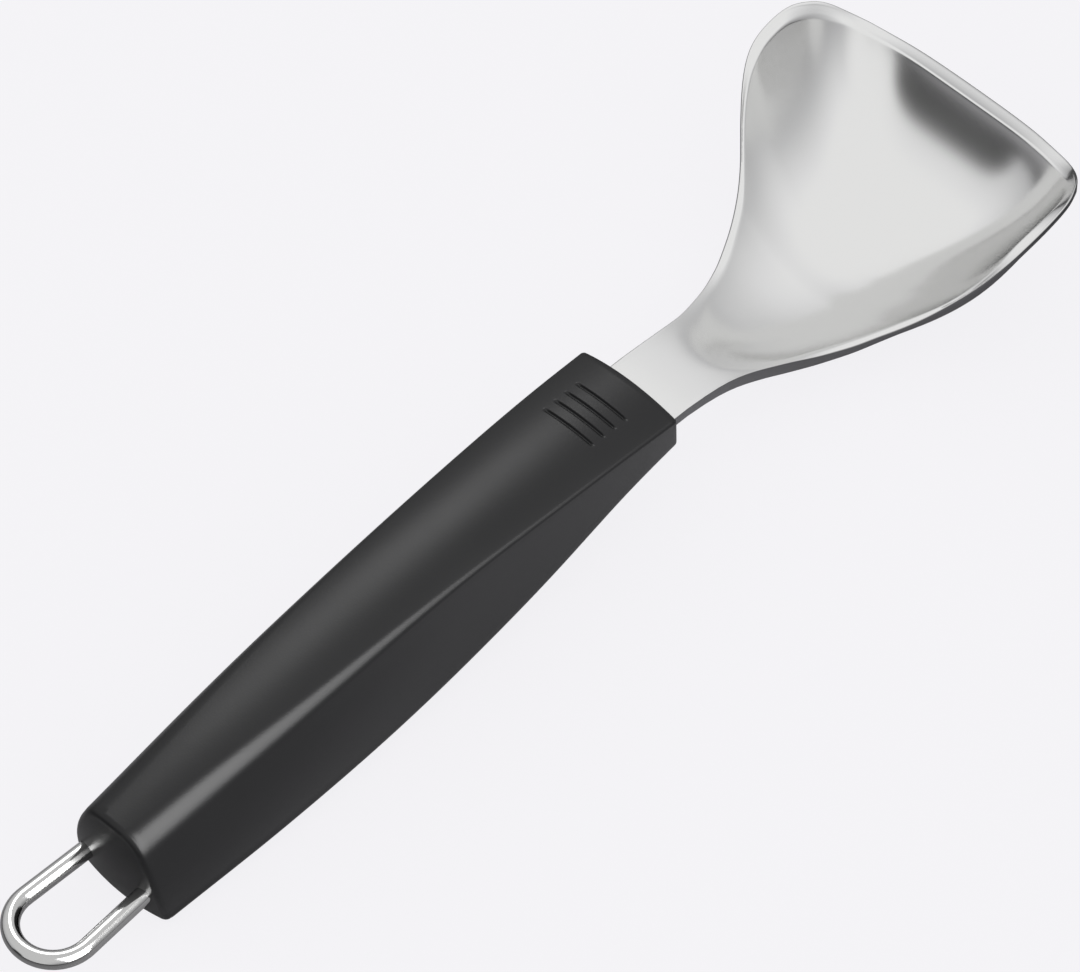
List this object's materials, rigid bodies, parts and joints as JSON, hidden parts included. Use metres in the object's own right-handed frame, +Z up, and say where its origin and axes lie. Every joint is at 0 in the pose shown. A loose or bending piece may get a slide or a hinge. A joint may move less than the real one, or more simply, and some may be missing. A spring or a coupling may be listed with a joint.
{
  "type": "ice cream scoop",
  "caption": "Spade-shaped ice cream scoop: a pressed steel dish with a flared, saddle-shaped rim and flat neck, a faceted plastic handle and a wire hanging loop.",
  "frame": {"origin": "middle of the bounding box in plan, on the surface that the scoop lies on", "axes": "+X along the scoop from the hanging loop to the dish, +Y to the left, +Z up, with the hollow of the dish open upwards"},
  "size_m": [0.235, 0.0656, 0.0316],
  "materials": {
    "head_steel": "satin, bead-blasted look with a ground rim",
    "handle_plastic": "satin moulded",
    "loop_steel": "polished"
  },
  "bodies": {
    "root": {"scoop_head": "head_steel", "handle": "handle_plastic", "hanging_loop": "loop_steel"}
  },
  "joints": []
}
